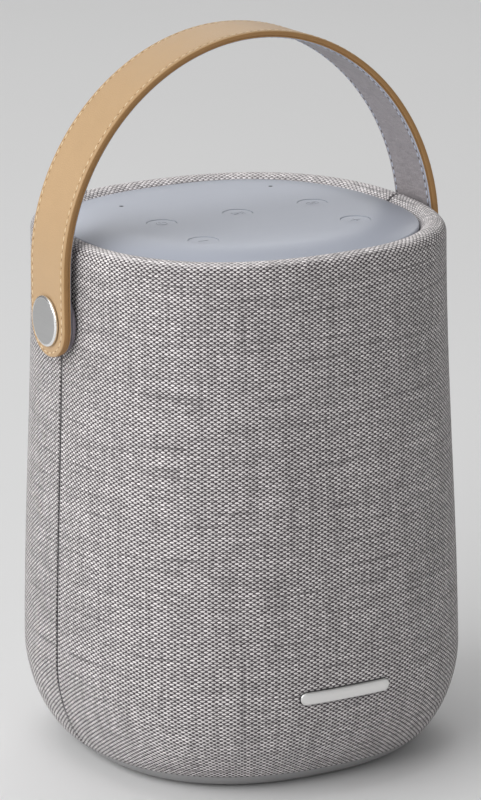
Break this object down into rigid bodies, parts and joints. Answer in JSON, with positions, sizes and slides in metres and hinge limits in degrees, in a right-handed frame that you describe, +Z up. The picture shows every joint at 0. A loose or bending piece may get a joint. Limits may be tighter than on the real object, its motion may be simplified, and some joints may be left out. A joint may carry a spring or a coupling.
{
  "type": "smart speaker",
  "caption": "Rounded-square fabric speaker with a softly domed grey control cover, round keys, a pill badge and a swinging stitched leather strap handle.",
  "frame": {"origin": "middle of the footprint, on the surface it stands on", "axes": "+Z up, -Y out of the badge side, +X to the right seen from the front; the handle turns about X"},
  "size_m": [0.1452, 0.1404, 0.2427],
  "materials": {
    "fabric": "woven melange cloth, light and dark grey yarns",
    "grille": "black moulded plastic",
    "cover": "satin cool grey soft-touch",
    "key": "satin cool grey soft-touch",
    "silicone": "matt silicone",
    "circuit_board": "green solder mask",
    "flat_cable": "white film",
    "tin_plate": "tin plated",
    "heat_sink": "black anodised",
    "cabinet": "black moulded plastic",
    "screw": "black zinc",
    "basket": "black powder coat",
    "ferrite": "sintered ferrite",
    "yoke_steel": "zinc plated",
    "spider_cloth": "resin-stiffened cloth",
    "surround_rubber": "smooth rubber",
    "paper_cone": "pressed paper",
    "copper_coil": "enamelled copper",
    "dome_cloth": "coated silk",
    "radiator_metal": "black anodised",
    "battery_wrap": "blue shrink wrap over metal",
    "battery_plastic": "dark moulded plastic",
    "base": "grey moulded plastic",
    "foot_rubber": "matt grey rubber",
    "contact_gold": "gold plated",
    "port": "black moulded plastic",
    "badge_metal": "brushed",
    "bracket": "glass-filled plastic",
    "stud_steel": "fine brushed face, polished bevel",
    "spacer": "dark grey plastic",
    "leather": "tan grained leather, stitched",
    "lining": "grey suede-like lining"
  },
  "bodies": {
    "body": {"fabric_front": "fabric", "fabric_rear": "fabric", "grille_front": "grille", "grille_rear": "grille", "cover_carrier": "cabinet", "top_cover": "cover", "key_mat": "silicone", "top_board": "circuit_board", "mic_seals": "silicone", "flat_cable": "flat_cable", "main_board": "circuit_board", "shield_can": "tin_plate", "heat_sink": "heat_sink", "antennas": "circuit_board", "cabinet_body": "cabinet", "cabinet_lid": "cabinet", "cabinet_screws": "screw", "woofer_basket": "basket", "woofer_magnet": "ferrite", "woofer_yoke": "yoke_steel", "woofer_spider": "spider_cloth", "woofer_surround": "surround_rubber", "woofer_gasket": "silicone", "tweeter_plate": "cabinet", "tweeter_magnet": "yoke_steel", "radiator_frame": "cabinet", "radiator_surround": "surround_rubber", "driver_screws": "screw", "battery_holder": "battery_plastic", "battery_cells": "battery_wrap", "base_cap": "base", "foot_ring": "foot_rubber", "base_screws": "screw", "dock_contacts": "contact_gold", "port_panel": "port", "charge_socket": "tin_plate", "badge": "badge_metal", "bracket_left": "bracket", "bracket_right": "bracket", "stud_left": "stud_steel", "stud_right": "stud_steel", "spacer_left": "spacer", "spacer_right": "spacer", "stud_nuts": "yoke_steel"},
    "handle": {"strap_leather": "leather", "strap_lining": "lining", "eyelet_left": "stud_steel", "eyelet_right": "stud_steel"},
    "woofer_moving": {"woofer_cone": "paper_cone", "dust_cap": "paper_cone", "voice_coil": "copper_coil"},
    "tweeter_moving": {"tweeter_dome": "dome_cloth"},
    "radiator_moving": {"radiator_plate": "radiator_metal"},
    "power_key": {"power_key": "key"},
    "play_key": {"play_key": "key"},
    "link_key": {"link_key": "key"},
    "minus_key": {"minus_key": "key"},
    "plus_key": {"plus_key": "key"}
  },
  "joints": [
    {"name": "handle_swing", "type": "hinge", "parent": "body", "child": "handle", "pos_m": [0, 0, 0.1535], "axis": [1, 0, 0], "range_deg": [-115, 115]},
    {"name": "woofer_travel", "type": "slide", "parent": "body", "child": "woofer_moving", "axis": [0, -1, 0], "range_m": [-0.003, 0.003], "stiffness_N_per_m": 1200, "deforming": ["woofer_surround", "woofer_spider"]},
    {"name": "tweeter_travel", "type": "slide", "parent": "body", "child": "tweeter_moving", "axis": [0, -1, 0], "range_m": [-0.0003, 0.0003], "stiffness_N_per_m": 1500},
    {"name": "radiator_travel", "type": "slide", "parent": "body", "child": "radiator_moving", "axis": [0, 1, 0], "range_m": [-0.004, 0.004], "stiffness_N_per_m": 700, "deforming": ["radiator_surround"]},
    {"name": "power_press", "type": "slide", "parent": "body", "child": "power_key", "axis": [0, 0, -1], "range_m": [0, 0.0005], "stiffness_N_per_m": 800, "springref_m": -0.0004},
    {"name": "play_press", "type": "slide", "parent": "body", "child": "play_key", "axis": [0, 0, -1], "range_m": [0, 0.0005], "stiffness_N_per_m": 800, "springref_m": -0.0004},
    {"name": "link_press", "type": "slide", "parent": "body", "child": "link_key", "axis": [0, 0, -1], "range_m": [0, 0.0005], "stiffness_N_per_m": 800, "springref_m": -0.0004},
    {"name": "minus_press", "type": "slide", "parent": "body", "child": "minus_key", "axis": [0, 0, -1], "range_m": [0, 0.0005], "stiffness_N_per_m": 800, "springref_m": -0.0004},
    {"name": "plus_press", "type": "slide", "parent": "body", "child": "plus_key", "axis": [0, 0, -1], "range_m": [0, 0.0005], "stiffness_N_per_m": 800, "springref_m": -0.0004}
  ]
}
